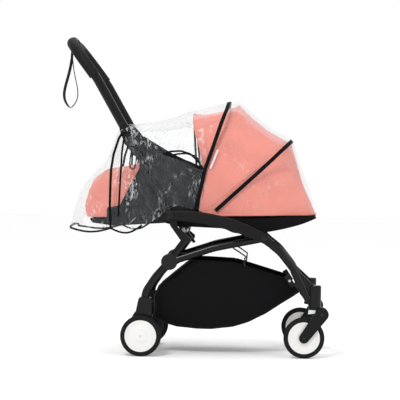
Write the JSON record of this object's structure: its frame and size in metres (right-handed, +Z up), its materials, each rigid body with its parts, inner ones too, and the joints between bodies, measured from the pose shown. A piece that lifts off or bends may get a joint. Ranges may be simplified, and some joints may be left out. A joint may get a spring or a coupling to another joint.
{
  "type": "folding pushchair with newborn nest",
  "caption": "Compact folding pushchair with a flat newborn nest, bow canopy, foot muff, clear rain cover, under-seat basket, swivelling front wheels and a folding handle.",
  "frame": {"origin": "on the floor, at the middle of the part's box in plan", "axes": "+X forward, the way the front wheels lead; +Y to the left side; +Z up"},
  "size_m": [0.8976, 0.438, 1.055],
  "materials": {
    "frame_satin": "satin near-black powder coat",
    "black_plastic": "fine-grained moulded plastic",
    "cap_plastic": "smooth black plastic",
    "steel": "bright pins and axles",
    "tyre": "soft dark grey rubber",
    "wheel_white": "white moulded disc",
    "tab_grey": "light grey plastic tab",
    "grip_foam": "black soft grip",
    "strap_webbing": "dark webbing",
    "coral_fabric": "coral woven fabric",
    "black_fabric": "black woven fabric",
    "panel_fabric": "charcoal fabric",
    "mattress_fabric": "pale quilted cotton",
    "board": "ribbed plastic board",
    "clear_pvc": "clear soft plastic film"
  },
  "bodies": {
    "seat_frame": {"armrest_left": "black_plastic", "armrest_right": "black_plastic", "side_frame_left": "frame_satin", "side_frame_right": "frame_satin", "hub_cap_left": "cap_plastic", "hub_cap_right": "cap_plastic", "pivot_pins": "steel", "front_cross_tube": "frame_satin", "rear_cross_tube": "frame_satin", "nest_tub": "black_fabric", "base_board": "board", "mattress": "mattress_fabric", "foot_muff": "coral_fabric", "side_panel_left": "panel_fabric", "side_panel_right": "panel_fabric", "canopy_bow_rear": "frame_satin", "canopy_fabric": "coral_fabric", "canopy_pivot_left": "black_plastic", "canopy_pivot_right": "black_plastic", "basket": "black_fabric", "basket_elastics": "strap_webbing", "rain_cover": "clear_pvc"},
    "release": {"release_lever": "black_plastic"},
    "rear_legs": {"rear_leg_left": "frame_satin", "rear_leg_right": "frame_satin", "rear_bridge": "frame_satin", "rear_axle_left": "steel", "rear_axle_right": "steel"},
    "brake": {"brake_pedal": "black_plastic"},
    "brake_pin_left": {"brake_pin_left": "steel"},
    "brake_pin_right": {"brake_pin_right": "steel"},
    "rear_wheel_left": {"rear_tyre_left": "tyre", "rear_wheel_disc_left": "wheel_white"},
    "rear_wheel_right": {"rear_tyre_right": "tyre", "rear_wheel_disc_right": "wheel_white"},
    "front_legs": {"front_leg_left": "frame_satin", "front_leg_right": "frame_satin", "front_brace": "frame_satin", "basket_clips": "black_plastic"},
    "caster_left": {"caster_fork_left": "black_plastic", "swivel_lock_tab_left": "tab_grey"},
    "caster_right": {"caster_fork_right": "black_plastic", "swivel_lock_tab_right": "tab_grey"},
    "arm_left": {"suspension_arm_left": "black_plastic"},
    "arm_right": {"suspension_arm_right": "black_plastic"},
    "front_wheel_left": {"front_tyre_left": "tyre", "front_wheel_disc_left": "wheel_white"},
    "front_wheel_right": {"front_tyre_right": "tyre", "front_wheel_disc_right": "wheel_white"},
    "handle_low": {"handle_tube_left": "frame_satin", "handle_tube_right": "frame_satin"},
    "handle_up": {"handle_bow": "frame_satin", "grip": "grip_foam", "wrist_strap": "strap_webbing", "knuckle_cap_left": "cap_plastic", "knuckle_cap_right": "cap_plastic"},
    "button_left": {"fold_button_left": "cap_plastic"},
    "button_right": {"fold_button_right": "cap_plastic"},
    "canopy_front": {"canopy_bow_front": "frame_satin"},
    "canopy_middle": {"canopy_bow_middle": "frame_satin"}
  },
  "joints": [
    {"name": "frame_fold", "type": "hinge", "parent": "seat_frame", "child": "rear_legs", "pos_m": [-0.0759, 0, 0.3085], "axis": [0, 1, 0], "range_deg": [0, 75], "deforming": ["basket", "rain_cover", "basket_elastics"]},
    {"name": "front_leg_fold", "type": "hinge", "parent": "seat_frame", "child": "front_legs", "pos_m": [0.2346, 0, 0.391], "axis": [0, 1, 0], "range_deg": [0, 100]},
    {"name": "handle_fold", "type": "hinge", "parent": "seat_frame", "child": "handle_low", "pos_m": [-0.0727, 0, 0.4626], "axis": [0, 1, 0], "range_deg": [0, 108.3]},
    {"name": "handle_flip", "type": "hinge", "parent": "handle_low", "child": "handle_up", "pos_m": [-0.205, 0, 0.708], "axis": [0, -1, 0], "range_deg": [0, 122]},
    {"name": "rear_wheel_spin_left", "type": "hinge", "parent": "rear_legs", "child": "rear_wheel_left", "pos_m": [-0.1654, 0.204, 0.067], "axis": [0, 1, 0], "continuous": true},
    {"name": "rear_wheel_spin_right", "type": "hinge", "parent": "rear_legs", "child": "rear_wheel_right", "pos_m": [-0.1654, -0.204, 0.067], "axis": [0, 1, 0], "continuous": true},
    {"name": "brake_press", "type": "hinge", "parent": "rear_legs", "child": "brake", "pos_m": [-0.158, 0, 0.112], "axis": [0, -1, 0], "range_deg": [0, 25], "stiffness_Nm_per_rad": 0.6, "springref_deg": -17.19},
    {"name": "brake_pin_slide_left", "type": "slide", "parent": "rear_legs", "child": "brake_pin_left", "axis": [0, 1, 0], "range_m": [0, 0.006]},
    {"name": "brake_pin_slide_right", "type": "slide", "parent": "rear_legs", "child": "brake_pin_right", "axis": [0, -1, 0], "range_m": [0, 0.006]},
    {"name": "caster_swivel_left", "type": "hinge", "parent": "front_legs", "child": "caster_left", "pos_m": [0.404, 0.197, 0.2], "axis": [0, 0, 1], "continuous": true},
    {"name": "suspension_left", "type": "hinge", "parent": "caster_left", "child": "arm_left", "pos_m": [0.4268, 0.197, 0.1452], "axis": [0, 1, 0], "range_deg": [0, 8], "stiffness_Nm_per_rad": 15, "springref_deg": -11.46},
    {"name": "front_wheel_spin_left", "type": "hinge", "parent": "arm_left", "child": "front_wheel_left", "pos_m": [0.3692, 0.197, 0.067], "axis": [0, 1, 0], "continuous": true},
    {"name": "fold_button_press_left", "type": "slide", "parent": "handle_up", "child": "button_left", "axis": [0, -1, 0], "range_m": [0, 0.003], "stiffness_N_per_m": 400, "springref_m": -0.002},
    {"name": "caster_swivel_right", "type": "hinge", "parent": "front_legs", "child": "caster_right", "pos_m": [0.404, -0.197, 0.2], "axis": [0, 0, 1], "continuous": true},
    {"name": "suspension_right", "type": "hinge", "parent": "caster_right", "child": "arm_right", "pos_m": [0.4268, -0.197, 0.1452], "axis": [0, 1, 0], "range_deg": [0, 8], "stiffness_Nm_per_rad": 15, "springref_deg": -11.46},
    {"name": "front_wheel_spin_right", "type": "hinge", "parent": "arm_right", "child": "front_wheel_right", "pos_m": [0.3692, -0.197, 0.067], "axis": [0, 1, 0], "continuous": true},
    {"name": "fold_button_press_right", "type": "slide", "parent": "handle_up", "child": "button_right", "axis": [0, 1, 0], "range_m": [0, 0.003], "stiffness_N_per_m": 400, "springref_m": -0.002},
    {"name": "release_squeeze", "type": "hinge", "parent": "seat_frame", "child": "release", "pos_m": [-0.03, 0, 0.4126], "axis": [0, -1, 0], "range_deg": [0, 18], "stiffness_Nm_per_rad": 0.5, "springref_deg": -17.19},
    {"name": "canopy_fold", "type": "hinge", "parent": "seat_frame", "child": "canopy_front", "pos_m": [0.023, 0, 0.463], "axis": [0, 1, 0], "range_deg": [0, 46], "deforming": ["canopy_fabric", "rain_cover"]},
    {"name": "canopy_middle_fold", "type": "hinge", "parent": "seat_frame", "child": "canopy_middle", "pos_m": [0.023, 0, 0.463], "axis": [0, 1, 0], "range_deg": [0, 27]}
  ],
  "couplings": [
    {"joint": "front_leg_fold", "follows": "frame_fold", "ratio": 1.3333},
    {"joint": "handle_fold", "follows": "frame_fold", "ratio": 1.444},
    {"joint": "handle_flip", "follows": "frame_fold", "ratio": 1.6267},
    {"joint": "brake_pin_slide_left", "follows": "brake_press", "m_per_rad": 0.01375},
    {"joint": "brake_pin_slide_right", "follows": "brake_press", "m_per_rad": 0.01375},
    {"joint": "canopy_middle_fold", "follows": "canopy_fold", "ratio": 0.58696}
  ]
}
